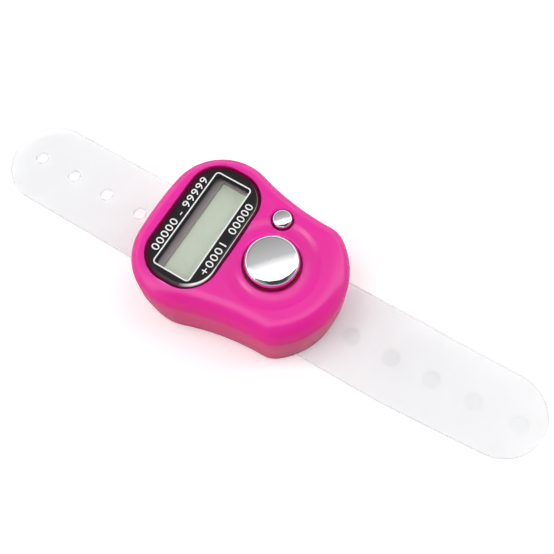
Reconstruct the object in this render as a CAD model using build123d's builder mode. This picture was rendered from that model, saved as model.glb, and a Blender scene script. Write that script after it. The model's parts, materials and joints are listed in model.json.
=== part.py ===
from build123d import *
import os
from math import asin, atan, atan2, cos, degrees, radians, sin, sqrt

os.makedirs("parts", exist_ok=True)

# Finger tally counter: a two-part housing on a clear strap, with a display and two buttons.
# Millimetres. X runs along the display, Y along the strap and Z out of the display.
# The origin is the middle of the flat back.

# Clearances shared by several pieces
thread_gap = 0.02
hole_gap = 0.1
cut_overrun = 2.0

# Housing walls, and the tangent arcs of its outline seen from above, the same left and right
wall = 1.6
belt_height = 6.0
skirt_inset = 0.6
top_round = 3.4
cover_round = 0.5
cover_web = 0.35
seam_chamfer = 0.12
end_radius = 66.0
shoulder_radius = 9.75
flank_radius = 43.8
lobe_radius = 4.8
foot_flatness = 1.8

# Strap
strap_width = 16.0
strap_thickness = 0.9
strap_gap = 0.1
strap_side_gap = 0.15
strap_shoulder_land = 6.3
strap_lobe_land = 3.3
strap_pitch = 7.55
hole_count = 4
hole_radius = 1.15
hole_housing_land = 5.65
hole_tip_land = 5.3
hole_end_length = 7.2
peg_count = 5
peg_housing_land = 3.4
peg_tip_land = 3.9
peg_end_length = 6.6
peg_end_inset = 0.7
peg_taper_land = 12.2
peg_stem_gap = 0.05
peg_stem_height = 0.5
peg_head_lip = 0.45
peg_head_height = 0.55
curl_radius = 174.0

# Case screws up through the rear cover, and board screws up into posts under the roof
case_shank_radius = 0.7
case_head_radius = 1.1
case_head_height = 0.5
case_head_sink = 0.15
case_head_gap = 0.15
case_post_wall = 0.88
case_post_lap = 0.4
case_post_board_gap = 0.5
case_tip_gap = 1.25
shoulder_post_share = 0.45
flank_post_share = 0.3
board_shank_radius = 0.55
board_head_radius = 1.0
board_head_height = 0.6
board_post_wall = 0.53
board_tip_gap = 1.2
end_post_gap = 0.5
foot_post_gap = 0.9
side_post_gap = 2.0
side_post_angle = -27.0
drive_width = 0.3
drive_span_share = 0.7
drive_depth_share = 0.5

# Button cell, its tray and its two contacts
tray_thickness = 0.8
tray_gap = 0.15
cell_radius = 5.8
cell_height = 3.05
cell_round = 0.2
cap_radius = 4.7
cap_height = 0.4
ring_gap = 0.15
ring_wall = 0.8
ring_height = 2.6
contact_thickness = 0.2
contact_width = 3.0
contact_slot_gap = 0.2
contact_screw_gap = 0.8
negative_reach = 3.0
negative_riser_gap = 0.65
positive_reach = 2.5
positive_overhang = 0.6

# Circuit board and what hangs under it
board_rise = 0.85
board_thickness = 0.8
board_gap = 0.3
blob_radius = 3.2
blob_height = 0.9
chip_length = 1.6
chip_width = 0.8
chip_height = 0.6
chip_blob_gap = 2.5
chip_row_offset = 2.0

# Display, from the lens down
lens_width = 23.0
lens_depth = 12.7
lens_thickness = 1.1
lens_end_flat = 0.85
lens_bevel_width = 0.9
lens_bevel_drop = 0.28
lens_gap = 0.1
lens_recess = 0.25
lens_side_land = 3.0
lens_end_land = 3.45
ledge_thickness = 0.6
adhesive_thickness = 0.1
adhesive_edge = 0.3
mask_thickness = 0.05
mask_side_border = 2.15
mask_end_border = 3.2
window_side_border = 1.6
window_end_border = 2.6
window_corner = 0.8
display_shift = 0.1
glass_thickness = 0.7
glass_side_lap = 0.55
glass_end_lap = 0.75
glass_gap = 0.1
polariser_thickness = 0.15
polariser_inset = 0.3
holder_wall = 0.7
holder_lip = 0.4
holder_top_gap = 0.1
view_side_border = 0.25
view_end_border = 0.7
view_drop = 0.33
zebra_thickness = 0.9
zebra_edge_gap = 0.15
zebra_end_gap = 0.9

# Buttons, each a cap with a flange under the roof, on a rubber dome with a contact pill
count_radius = 4.5
count_rise = 1.6
count_crown = 0.5
count_edge_round = 1.1
count_bore_gap = 0.4
count_rim_round = 0.3
count_flange_lap = 0.5
count_lens_gap = 1.35
count_foot_land = 7.3
count_lip_land = 0.35
count_lip_drop = 0.08
gutter_land = 3.0
gutter_depth = 0.26
gutter_round = 0.8
reset_radius = 1.65
reset_rise = 0.5
reset_crown = 0.3
reset_edge_round = 0.6
reset_bore_gap = 0.3
reset_rim_chamfer = 0.25
reset_flange_lap = 0.35
reset_angle = 18.8
reset_wall_gap = 0.1
flange_thickness = 0.95
flange_gap = 0.1
flange_side_gap = 0.22
key_height = 2.55
count_dome_base = 3.6
count_dome_top = 2.3
count_pill_radius = 1.5
reset_dome_base = 2.3
reset_dome_top = 1.3
reset_pill_radius = 0.8
dome_foot = 0.4
dome_wall = 0.35
dome_cap = 1.15
pill_thickness = 0.35

# Heights up the stack, each from the one below it
cover_thickness = case_head_height + case_head_sink + cover_web
strap_under = cover_thickness + strap_gap
strap_top = strap_under + strap_thickness
tray_under = strap_top + strap_gap
tray_top = tray_under + tray_thickness
cell_under = tray_top + contact_thickness
cell_top = cell_under + cell_height
board_under = cell_top + board_rise
board_top = board_under + board_thickness
flange_under = board_top + key_height
flange_top = flange_under + flange_thickness
roof_under = flange_top + flange_gap
lens_seat = roof_under + ledge_thickness
mask_under = lens_seat + adhesive_thickness
lens_under = mask_under + mask_thickness
lens_top = lens_under + lens_thickness
housing_height = lens_top + lens_recess
holder_top = roof_under - holder_top_gap
polariser_top = holder_top - holder_lip
front_glass_top = polariser_top - polariser_thickness
rear_glass_top = front_glass_top - glass_thickness
reflector_top = rear_glass_top - glass_thickness
reflector_under = reflector_top - polariser_thickness

# Places along the housing, from its display end down to its button end
count_bore_radius = count_radius + count_bore_gap
count_flange_radius = count_bore_radius + count_flange_lap
reset_bore_radius = reset_radius + reset_bore_gap
reset_flange_radius = reset_bore_radius + reset_flange_lap
half_length = (lens_end_land + lens_depth + count_lens_gap + 2 * count_flange_radius + count_foot_land) / 2
lens_y = half_length - lens_end_land - lens_depth / 2
display_y = lens_y + display_shift
count_y = lens_y - lens_depth / 2 - count_lens_gap - count_flange_radius
reset_distance = count_flange_radius + flange_side_gap + reset_flange_radius
reset_x = reset_distance * cos(radians(reset_angle))
reset_y = count_y + reset_distance * sin(radians(reset_angle))

# Widths of the housing, each set by the wider of the two things that it goes round
strap_slot_width = strap_width + 2 * strap_side_gap
shoulder_width = max(lens_width / 2 + lens_side_land, strap_slot_width / 2 + strap_shoulder_land)
reset_reach = reset_x + reset_flange_radius + reset_wall_gap + wall
lobe_width = max(reset_reach, strap_slot_width / 2 + strap_lobe_land)
skirt_slope = skirt_inset / belt_height
seam_inset = skirt_inset - skirt_slope * tray_under

# Display sizes, from the lens inwards
lens_corner = lens_depth / 2 - lens_end_flat
window_width = lens_width - 2 * window_side_border
window_depth = lens_depth - 2 * window_end_border
mask_window_width = lens_width - 2 * mask_side_border
mask_window_depth = lens_depth - 2 * mask_end_border
front_glass_width = mask_window_width + 2 * glass_side_lap
front_glass_depth = mask_window_depth + 2 * glass_end_lap
rear_glass_depth = front_glass_depth - 2 * (zebra_thickness + 2 * zebra_edge_gap)
zebra_y = (rear_glass_depth + zebra_thickness) / 2 + zebra_edge_gap


def heading(start, end):
    """Angle in degrees of the line from one point to another."""
    return degrees(atan2(end.Y - start.Y, end.X - start.X))


def housing_arcs():
    """Centre, radius, start, sweep and bulge of each outline arc: end, shoulder, flank, lobe and foot."""
    foot_radius = lobe_width + foot_flatness
    end = Vector(0, half_length - end_radius)
    shoulder_x = shoulder_width - shoulder_radius
    shoulder = Vector(shoulder_x, end.Y + sqrt((end_radius - shoulder_radius) ** 2 - shoulder_x**2))
    foot = Vector(0, foot_radius - half_length)
    lobe_x = lobe_width - lobe_radius
    lobe = Vector(lobe_x, foot.Y - sqrt((foot_radius - lobe_radius) ** 2 - lobe_x**2))
    chord = lobe - shoulder
    near = flank_radius + shoulder_radius
    far = flank_radius + lobe_radius
    along = (chord.length**2 + near**2 - far**2) / (2 * chord.length)
    across = sqrt(near**2 - along**2)
    unit = chord.normalized()
    flank = shoulder + unit * along + Vector(-unit.Y, unit.X) * across
    turn_end = heading(end, shoulder)
    turn_shoulder = heading(shoulder, flank)
    turn_lobe = heading(lobe, flank)
    turn_foot = heading(foot, lobe)
    return [
        (end, end_radius, 90, turn_end - 90, 1),
        (shoulder, shoulder_radius, turn_end, turn_shoulder - turn_end, 1),
        (flank, flank_radius, turn_shoulder + 180, turn_lobe - turn_shoulder, -1),
        (lobe, lobe_radius, turn_lobe, turn_foot - turn_lobe, 1),
        (foot, foot_radius, turn_foot, -90 - turn_foot, 1),
    ]


def housing_face(inset):
    """Face of the housing seen from above, drawn in by a distance."""
    with BuildSketch() as face:
        with BuildLine():
            for centre, radius, start, sweep, bulge in housing_arcs():
                CenterArc((centre.X, centre.Y), radius - bulge * inset, start, sweep)
            mirror(about=Plane.YZ)
        make_face()
    return face.sketch


def wall_places(arc, share, inset):
    """Places on both sides of the housing at a share of an outline arc, drawn in by a distance."""
    centre, radius, start, sweep, bulge = arc
    angle = radians(start + share * sweep)
    reach = radius - bulge * inset
    x = centre.X + reach * cos(angle)
    y = centre.Y + reach * sin(angle)
    return [(-x, y), (x, y)]


def cap_radius_of(half_chord, height):
    """Radius of the ball whose cap has a given half chord and height."""
    return (half_chord**2 + height**2) / (2 * height)


def screw_profile(head_radius, head_height, shank_radius, shank_length):
    """Half of a pan-head screw, its head's seat at height zero and its shank upwards."""
    with BuildSketch() as half:
        with BuildLine():
            Polyline(
                (0, -head_height),
                (head_radius, -head_height),
                (head_radius, 0),
                (shank_radius, 0),
                (shank_radius, shank_length - shank_radius),
                (0, shank_length),
                close=True,
            )
        make_face()
    return half.sketch


def dome_profile(base_radius, top_radius, pill_radius):
    """Half of a rubber key dome that stands on the board and carries a button's flange."""
    cap_under = flange_under - dome_cap
    with BuildSketch() as half:
        with BuildLine():
            Polyline(
                (base_radius - 2 * dome_wall, board_top),
                (base_radius, board_top),
                (base_radius, board_top + dome_foot),
                (top_radius, cap_under + dome_foot),
                (top_radius, flange_under),
                (0, flange_under),
                (0, cap_under),
                (pill_radius, cap_under),
                (base_radius - 2 * dome_wall, board_top + dome_foot),
                close=True,
            )
        make_face()
    return half.sketch


def button_profile(radius, edge_height, crown, flange_radius):
    """Half of a button: a flange under the roof, a round cap and a low domed top."""
    with BuildSketch() as half:
        with BuildLine():
            Polyline(
                (0, flange_under),
                (flange_radius, flange_under),
                (flange_radius, flange_top),
                (radius, flange_top),
                (radius, edge_height),
            )
            RadiusArc((radius, edge_height), (0, edge_height + crown), -cap_radius_of(radius, crown))
            Line((0, edge_height + crown), (0, flange_under))
        make_face()
    return half.sketch


def save(part, name):
    """Label a finished piece and write it to its own file."""
    part.label = name
    export_step(part, f"parts/{name}.step")


# Screw posts: the case posts stand on the side walls, the board posts hang from the roof
case_post_radius = case_shank_radius + thread_gap + case_post_wall
case_post_top = board_under - case_post_board_gap
case_post_inset = wall + case_post_radius - case_post_lap
outline_arcs = housing_arcs()
case_screw_places = wall_places(outline_arcs[1], shoulder_post_share, case_post_inset)
case_screw_places += wall_places(outline_arcs[2], flank_post_share, case_post_inset)
board_post_radius = board_shank_radius + thread_gap + board_post_wall
foot_post_y = wall + foot_post_gap + board_post_radius - half_length
side_post_distance = count_flange_radius + side_post_gap + board_post_radius
side_post_x = side_post_distance * cos(radians(side_post_angle))
side_post_y = count_y + side_post_distance * sin(radians(side_post_angle))
board_screw_places = [
    (0, half_length - wall - end_post_gap - board_post_radius),
    (0, foot_post_y),
    (-side_post_x, side_post_y),
    (side_post_x, side_post_y),
]

# Front shell
with BuildPart() as front_shell:
    with BuildSketch(Plane.XY.offset(belt_height)):
        add(housing_face(0))
    extrude(amount=housing_height - belt_height)
    fillet(front_shell.edges().group_by(Axis.Z)[-1], top_round)
    with BuildSketch(Plane.XY.offset(tray_under)):
        add(housing_face(seam_inset))
    extrude(amount=belt_height - tray_under, taper=-degrees(atan(skirt_slope)))
    chamfer(front_shell.edges().group_by(Axis.Z)[0], seam_chamfer)
    # Shallow gutter round the count button, with a soft outer edge and a low lip at the bore
    lip_radius = count_bore_radius + count_lip_land
    gutter_radius = count_bore_radius + gutter_land
    with BuildSketch(Plane((0, count_y, housing_height), x_dir=(1, 0, 0), z_dir=(0, -1, 0))):
        with BuildLine():
            SagittaArc((lip_radius, -count_lip_drop), (gutter_radius, 0), -gutter_depth)
            Polyline(
                (gutter_radius, 0),
                (gutter_radius, cut_overrun),
                (0, cut_overrun),
                (0, -count_lip_drop),
                (lip_radius, -count_lip_drop),
            )
        make_face()
    revolve(axis=Axis((0, count_y, 0), (0, 0, 1)), mode=Mode.SUBTRACT)
    gutter_rim = front_shell.edges().filter_by(GeomType.CIRCLE).filter_by(lambda e: e.is_closed)
    fillet(gutter_rim.sort_by(Axis.Z)[-1], gutter_round)
    # Hollow inside
    with BuildSketch(Plane.XY):
        add(housing_face(wall))
    extrude(amount=roof_under, mode=Mode.SUBTRACT)
    # Posts for the board screws and for the case screws
    with BuildSketch(Plane.XY.offset(board_top)):
        with Locations(*board_screw_places):
            Circle(board_post_radius)
            Circle(board_shank_radius + thread_gap, mode=Mode.SUBTRACT)
    extrude(amount=roof_under - board_top)
    with BuildSketch(Plane.XY.offset(tray_under)):
        with Locations(*case_screw_places):
            Circle(case_post_radius)
    extrude(amount=case_post_top - tray_under)
    with BuildSketch(Plane.XY.offset(tray_under)):
        with Locations(*case_screw_places):
            Circle(case_shank_radius + thread_gap)
    extrude(amount=case_post_top - tray_under, mode=Mode.SUBTRACT)
    # Recess for the lens, and the display window in the ledge that carries it
    with BuildSketch(Plane.XY.offset(lens_seat)):
        with Locations((0, lens_y)):
            RectangleRounded(lens_width + 2 * lens_gap, lens_depth + 2 * lens_gap, lens_corner + lens_gap)
    extrude(amount=housing_height - lens_seat, mode=Mode.SUBTRACT)
    with BuildSketch(Plane.XY.offset(roof_under)):
        with Locations((0, display_y)):
            RectangleRounded(window_width, window_depth, window_corner)
    extrude(amount=housing_height - roof_under, mode=Mode.SUBTRACT)
    # Bores for the two buttons, the count bore with a rounded rim and the reset bore with a coned one
    with BuildSketch(Plane.XY.offset(roof_under)):
        with Locations((0, count_y)):
            Circle(count_bore_radius)
    extrude(amount=housing_height - roof_under, mode=Mode.SUBTRACT)
    round_edges = front_shell.edges().filter_by(GeomType.CIRCLE).filter_by(lambda e: e.is_closed)
    count_rim = round_edges.filter_by(lambda e: abs(e.radius - count_bore_radius) < thread_gap)
    fillet(count_rim.sort_by(Axis.Z)[-1], count_rim_round)
    with BuildSketch(Plane((reset_x, reset_y, housing_height), x_dir=(1, 0, 0), z_dir=(0, -1, 0))):
        with BuildLine():
            Polyline(
                (0, roof_under - housing_height),
                (reset_bore_radius, roof_under - housing_height),
                (reset_bore_radius, -reset_rim_chamfer),
                (reset_bore_radius + reset_rim_chamfer + cut_overrun, cut_overrun),
                (0, cut_overrun),
                close=True,
            )
        make_face()
    revolve(axis=Axis((reset_x, reset_y, 0), (0, 0, 1)), mode=Mode.SUBTRACT)
save(front_shell.part, "front_shell")

# Rear cover, with a slot for the strap right through it
with BuildPart() as rear_cover:
    with BuildSketch(Plane.XY):
        add(housing_face(skirt_inset))
    extrude(amount=tray_under, taper=-degrees(atan(skirt_slope)))
    fillet(rear_cover.edges().group_by(Axis.Z)[0], cover_round)
    chamfer(rear_cover.edges().group_by(Axis.Z)[-1], seam_chamfer)
    with BuildSketch(Plane.XY.offset(cover_thickness)):
        Rectangle(strap_slot_width, 2 * (half_length + cut_overrun))
    extrude(amount=tray_under - cover_thickness, mode=Mode.SUBTRACT)
    with BuildSketch(Plane.XY):
        with Locations(*case_screw_places):
            Circle(case_shank_radius + hole_gap)
    extrude(amount=tray_under, mode=Mode.SUBTRACT)
    with BuildSketch(Plane.XY):
        with Locations(*case_screw_places):
            Circle(case_head_radius + case_head_gap)
    extrude(amount=case_head_height + case_head_sink, mode=Mode.SUBTRACT)
save(rear_cover.part, "rear_cover")

# Cross-drive screws, one group of four for the case and one for the board
case_seat = case_head_height + case_head_sink
case_shank_length = case_post_top - case_tip_gap - case_seat
board_shank_length = roof_under - board_tip_gap - board_under
for name, places, seat, head_radius, head_height, shank_radius, shank_length in (
    (
        "case_screws",
        case_screw_places,
        case_seat,
        case_head_radius,
        case_head_height,
        case_shank_radius,
        case_shank_length,
    ),
    (
        "board_screws",
        board_screw_places,
        board_under,
        board_head_radius,
        board_head_height,
        board_shank_radius,
        board_shank_length,
    ),
):
    with BuildPart() as screws:
        for x, y in places:
            with BuildSketch(Plane((x, y, seat), x_dir=(1, 0, 0), z_dir=(0, -1, 0))):
                add(screw_profile(head_radius, head_height, shank_radius, shank_length))
            revolve(axis=Axis((x, y, 0), (0, 0, 1)))
        with BuildSketch(Plane.XY.offset(seat - head_height)):
            with Locations(*places):
                Rectangle(2 * drive_span_share * head_radius, drive_width)
                Rectangle(drive_width, 2 * drive_span_share * head_radius)
        extrude(amount=drive_depth_share * head_height, mode=Mode.SUBTRACT)
    save(screws.part, name)

# Strap, flat through the housing, with its peg tail curling up
near_hole_y = half_length + hole_housing_land
hole_tip_y = near_hole_y + (hole_count - 1) * strap_pitch + hole_tip_land
near_peg_y = -half_length - peg_housing_land
peg_tip_y = near_peg_y - (peg_count - 1) * strap_pitch - peg_tip_land
curl_centre = (-half_length, strap_under + curl_radius)
curl_angle = degrees(asin((-half_length - peg_tip_y) / (curl_radius - strap_thickness)))
with BuildPart() as strap:
    with BuildSketch(Plane.YZ):
        with BuildLine():
            under = CenterArc(curl_centre, curl_radius, -90 - curl_angle, curl_angle)
            top = CenterArc(curl_centre, curl_radius - strap_thickness, -90 - curl_angle, curl_angle)
            Line(under @ 0, top @ 0)
            Polyline(under @ 1, (hole_tip_y, strap_under), (hole_tip_y, strap_top), top @ 1)
        make_face()
    extrude(amount=strap_width / 2, both=True)
    peg_end_half = strap_width / 2 - peg_end_inset
    with BuildSketch(Plane.XY):
        with BuildLine():
            Polyline(
                (strap_width / 2, hole_tip_y - hole_end_length),
                (strap_width / 2, -half_length - peg_taper_land),
                (peg_end_half, peg_tip_y + peg_end_length),
            )
            mirror(about=Plane.YZ)
            for half_width, shoulder_y, tip_y in (
                (strap_width / 2, hole_tip_y - hole_end_length, hole_tip_y),
                (peg_end_half, peg_tip_y + peg_end_length, peg_tip_y),
            ):
                ThreePointArc((-half_width, shoulder_y), (0, tip_y), (half_width, shoulder_y))
        make_face()
    extrude(amount=strap_top + curl_radius, mode=Mode.INTERSECT)
    with BuildSketch(Plane.XY):
        with Locations(*[(0, near_hole_y + i * strap_pitch) for i in range(hole_count)]):
            Circle(hole_radius)
    extrude(amount=strap_top + cut_overrun, mode=Mode.SUBTRACT)
    for i in range(peg_count):
        reach = peg_housing_land + i * strap_pitch
        drop = sqrt(curl_radius**2 - reach**2)
        foot = Vector(0, curl_centre[0] - reach, curl_centre[1] - drop)
        outward = Vector(0, -reach, -drop).normalized()
        with BuildSketch(Plane(foot - outward * strap_thickness / 2, x_dir=(1, 0, 0), z_dir=outward)):
            Circle(hole_radius - peg_stem_gap)
        extrude(amount=strap_thickness / 2 + peg_stem_height)
        with BuildSketch(Plane(foot + outward * peg_stem_height, x_dir=(1, 0, 0), z_dir=outward)):
            Circle(hole_radius + peg_head_lip)
        extrude(amount=peg_head_height)
save(strap.part, "strap")

# Battery tray, a deck over the strap with a ring round the cell
cell_y = foot_post_y + board_head_radius + contact_screw_gap + positive_overhang + cell_radius
ring_inner = cell_radius + ring_gap
with BuildPart() as battery_tray:
    with BuildSketch(Plane.XY.offset(tray_under)):
        add(housing_face(wall + tray_gap))
        with Locations(*case_screw_places):
            Circle(case_post_radius + tray_gap, mode=Mode.SUBTRACT)
    extrude(amount=tray_thickness)
    with BuildSketch(Plane.XY.offset(tray_top)):
        with Locations((0, cell_y)):
            Circle(ring_inner + ring_wall)
            Circle(ring_inner, mode=Mode.SUBTRACT)
        with Locations((0, cell_y + ring_inner)):
            Rectangle(contact_width + 2 * contact_slot_gap, ring_inner, mode=Mode.SUBTRACT)
    extrude(amount=ring_height)
save(battery_tray.part, "battery_tray")

# Button cell, its small cap downwards
with BuildPart() as button_cell:
    with BuildSketch(Plane.XY.offset(cell_under)):
        with Locations((0, cell_y)):
            Circle(cap_radius)
    extrude(amount=cap_height)
    with BuildSketch(Plane.XY.offset(cell_under + cap_height)):
        with Locations((0, cell_y)):
            Circle(cell_radius)
    extrude(amount=cell_height - cap_height)
    fillet(button_cell.edges().group_by(Axis.Z)[-1], cell_round)
save(button_cell.part, "button_cell")

# Contact strips under and over the cell, each bent up to the board
negative_riser_y = cell_y + ring_inner + ring_wall + negative_riser_gap
positive_riser_y = cell_y - cell_radius - positive_overhang
for name, low, inner_y, outer_y in (
    ("negative_contact", tray_top, cell_y - negative_reach, negative_riser_y),
    ("positive_contact", cell_top, cell_y + positive_reach, positive_riser_y),
):
    bend = contact_thickness if outer_y > inner_y else -contact_thickness
    with BuildPart() as contact:
        with BuildSketch(Plane.YZ):
            with BuildLine():
                Polyline(
                    (inner_y, low),
                    (outer_y, low),
                    (outer_y, board_under),
                    (outer_y - bend, board_under),
                    (outer_y - bend, low + contact_thickness),
                    (inner_y, low + contact_thickness),
                    close=True,
                )
            make_face()
        extrude(amount=contact_width / 2, both=True)
    save(contact.part, name)

# Circuit board, with a sealed chip and small parts on its underside
with BuildPart() as circuit_board:
    with BuildSketch(Plane.XY.offset(board_under)):
        add(housing_face(wall + board_gap))
        with Locations(*board_screw_places):
            Circle(board_shank_radius + hole_gap, mode=Mode.SUBTRACT)
    extrude(amount=board_thickness)
save(circuit_board.part, "circuit_board")

with BuildPart() as chip_blob:
    with BuildSketch(Plane((0, display_y, board_under), x_dir=(1, 0, 0), z_dir=(0, -1, 0))):
        with BuildLine():
            RadiusArc((blob_radius, 0), (0, -blob_height), cap_radius_of(blob_radius, blob_height))
            Polyline((0, -blob_height), (0, 0), (blob_radius, 0))
        make_face()
    revolve(axis=Axis((0, display_y, 0), (0, 0, 1)))
save(chip_blob.part, "chip_blob")

chip_x = blob_radius + chip_blob_gap + chip_length / 2
chip_places = [
    (-chip_x, display_y + chip_row_offset),
    (-chip_x, display_y - chip_row_offset),
    (chip_x, display_y),
]
with BuildPart() as board_components:
    with BuildSketch(Plane.XY.offset(board_under - chip_height)):
        with Locations(*chip_places):
            Rectangle(chip_length, chip_width)
    extrude(amount=chip_height)
save(board_components.part, "board_components")

# Display stack on the board
for name, y in (
    ("zebra_strip_upper", display_y + zebra_y),
    ("zebra_strip_lower", display_y - zebra_y),
):
    with BuildPart() as zebra_strip:
        with BuildSketch(Plane.XY.offset(board_top)):
            with Locations((0, y)):
                Rectangle(front_glass_width - 2 * zebra_end_gap, zebra_thickness)
        extrude(amount=rear_glass_top - board_top)
    save(zebra_strip.part, name)

holder_margin = glass_gap + holder_wall
with BuildPart() as lcd_holder:
    with BuildSketch(Plane.XY.offset(board_top)):
        with Locations((0, display_y)):
            Rectangle(front_glass_width + 2 * holder_margin, front_glass_depth + 2 * holder_margin)
    extrude(amount=holder_top - board_top)
    with BuildSketch(Plane.XY.offset(board_top)):
        with Locations((0, display_y)):
            Rectangle(front_glass_width + 2 * glass_gap, front_glass_depth + 2 * glass_gap)
    extrude(amount=polariser_top - board_top, mode=Mode.SUBTRACT)
    with BuildSketch(Plane.XY.offset(polariser_top)):
        with Locations((0, display_y - view_drop)):
            Rectangle(mask_window_width - 2 * view_side_border, mask_window_depth - 2 * view_end_border)
    extrude(amount=holder_lip, mode=Mode.SUBTRACT)
save(lcd_holder.part, "lcd_holder")

for name, low, thickness, depth, inset in (
    ("lcd_front_polariser", front_glass_top, polariser_thickness, front_glass_depth, polariser_inset),
    ("lcd_front_glass", rear_glass_top, glass_thickness, front_glass_depth, 0),
    ("lcd_rear_glass", reflector_top, glass_thickness, rear_glass_depth, 0),
    ("lcd_reflector", reflector_under, polariser_thickness, rear_glass_depth, polariser_inset),
):
    with BuildPart() as lcd_layer:
        with BuildSketch(Plane.XY.offset(low)):
            with Locations((0, display_y)):
                Rectangle(front_glass_width - 2 * inset, depth - 2 * inset)
        extrude(amount=thickness)
    save(lcd_layer.part, name)

# Lens over its printed mask and the adhesive ring
with BuildPart() as lens_adhesive:
    with BuildSketch(Plane.XY.offset(lens_seat)):
        with Locations((0, lens_y)):
            RectangleRounded(
                lens_width - 2 * adhesive_edge, lens_depth - 2 * adhesive_edge, lens_corner - adhesive_edge
            )
        with Locations((0, display_y)):
            RectangleRounded(window_width, window_depth, window_corner, mode=Mode.SUBTRACT)
    extrude(amount=adhesive_thickness)
save(lens_adhesive.part, "lens_adhesive")

with BuildPart() as lens_mask:
    with BuildSketch(Plane.XY.offset(mask_under)):
        with Locations((0, lens_y)):
            RectangleRounded(lens_width, lens_depth, lens_corner)
        with Locations((0, display_y)):
            RectangleRounded(mask_window_width, mask_window_depth, window_corner, mode=Mode.SUBTRACT)
    extrude(amount=mask_thickness)
save(lens_mask.part, "lens_mask")

with BuildPart() as display_lens:
    with BuildSketch(Plane.XY.offset(lens_under)):
        with Locations((0, lens_y)):
            RectangleRounded(lens_width, lens_depth, lens_corner)
    extrude(amount=lens_thickness)
    lens_face = display_lens.faces().sort_by(Axis.Z)[-1]
    chamfer(lens_face.edges(), length=lens_bevel_width, length2=lens_bevel_drop, reference=lens_face)
save(display_lens.part, "display_lens")

# Buttons, their rubber domes and contact pills
for name, x, y, radius, rise, crown, edge_round, flange_radius, dome_base, dome_top, pill_radius in (
    (
        "count",
        0,
        count_y,
        count_radius,
        count_rise,
        count_crown,
        count_edge_round,
        count_flange_radius,
        count_dome_base,
        count_dome_top,
        count_pill_radius,
    ),
    (
        "reset",
        reset_x,
        reset_y,
        reset_radius,
        reset_rise,
        reset_crown,
        reset_edge_round,
        reset_flange_radius,
        reset_dome_base,
        reset_dome_top,
        reset_pill_radius,
    ),
):
    upright = Plane((x, y, 0), x_dir=(1, 0, 0), z_dir=(0, -1, 0))
    spindle = Axis((x, y, 0), (0, 0, 1))
    with BuildPart() as button:
        with BuildSketch(upright):
            add(button_profile(radius, housing_height + rise, crown, flange_radius))
        revolve(axis=spindle)
        fillet(button.edges().filter_by(lambda e: e.is_closed).group_by(Axis.Z)[-1], edge_round)
    save(button.part, f"{name}_button")
    with BuildPart() as dome:
        with BuildSketch(upright):
            add(dome_profile(dome_base, dome_top, pill_radius))
        revolve(axis=spindle)
    save(dome.part, f"{name}_dome")
    with BuildPart() as pill:
        with BuildSketch(Plane.XY.offset(flange_under - dome_cap - pill_thickness)):
            with Locations((x, y)):
                Circle(pill_radius)
        extrude(amount=pill_thickness)
    save(pill.part, f"{name}_pill")
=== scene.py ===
"""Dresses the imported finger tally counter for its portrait.

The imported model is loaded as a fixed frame. Every node of it gets a procedural finish, the soft strap and
the print on the display window are modelled here, and a plain white studio is set around them. Lengths are
metres: X runs along the display, Y along the strap and Z out of the display.
"""

import json
import logging
import math
from dataclasses import dataclass
from enum import Enum
from typing import Any

import bmesh
import bpy
from mathutils import Matrix, Vector

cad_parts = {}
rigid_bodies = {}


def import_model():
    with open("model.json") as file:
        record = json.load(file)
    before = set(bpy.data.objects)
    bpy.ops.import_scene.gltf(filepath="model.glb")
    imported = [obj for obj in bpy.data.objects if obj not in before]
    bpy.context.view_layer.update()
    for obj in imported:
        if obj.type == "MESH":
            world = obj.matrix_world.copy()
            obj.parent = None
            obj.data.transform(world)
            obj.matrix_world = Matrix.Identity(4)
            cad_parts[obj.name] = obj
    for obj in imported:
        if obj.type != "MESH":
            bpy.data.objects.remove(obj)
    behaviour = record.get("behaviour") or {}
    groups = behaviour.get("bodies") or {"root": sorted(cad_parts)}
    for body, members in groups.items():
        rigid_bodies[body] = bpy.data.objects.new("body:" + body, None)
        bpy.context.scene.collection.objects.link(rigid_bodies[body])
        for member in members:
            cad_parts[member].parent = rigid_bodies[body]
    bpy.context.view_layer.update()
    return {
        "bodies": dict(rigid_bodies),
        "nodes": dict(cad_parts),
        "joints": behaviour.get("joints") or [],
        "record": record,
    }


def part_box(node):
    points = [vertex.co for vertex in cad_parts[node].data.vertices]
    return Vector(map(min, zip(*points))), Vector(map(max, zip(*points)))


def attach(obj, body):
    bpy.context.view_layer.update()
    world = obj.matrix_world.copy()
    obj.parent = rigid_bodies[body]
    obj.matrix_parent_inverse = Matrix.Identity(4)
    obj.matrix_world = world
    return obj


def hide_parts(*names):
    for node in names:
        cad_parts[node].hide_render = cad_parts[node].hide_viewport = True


Colour = tuple[float, float, float]
Point = tuple[float, float, float]
Place = tuple[float, float]
Span = tuple[float, float]

MM = 0.001
WELD = 0.001 * MM
ROUND_STEPS = 40
CLOUD_DETAIL = 3.0
CLOUD_SPAN: Span = (0.3, 0.7)
SMUDGE_DETAIL = 4.0
SMUDGE_SPAN: Span = (0.35, 0.75)
WHITE = (1.0, 1.0, 1.0, 1.0)

log = logging.getLogger("tally_counter")


class Body(Enum):
    """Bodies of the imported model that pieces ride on."""

    HOUSING = "housing"
    STRAP = "strap"


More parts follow.
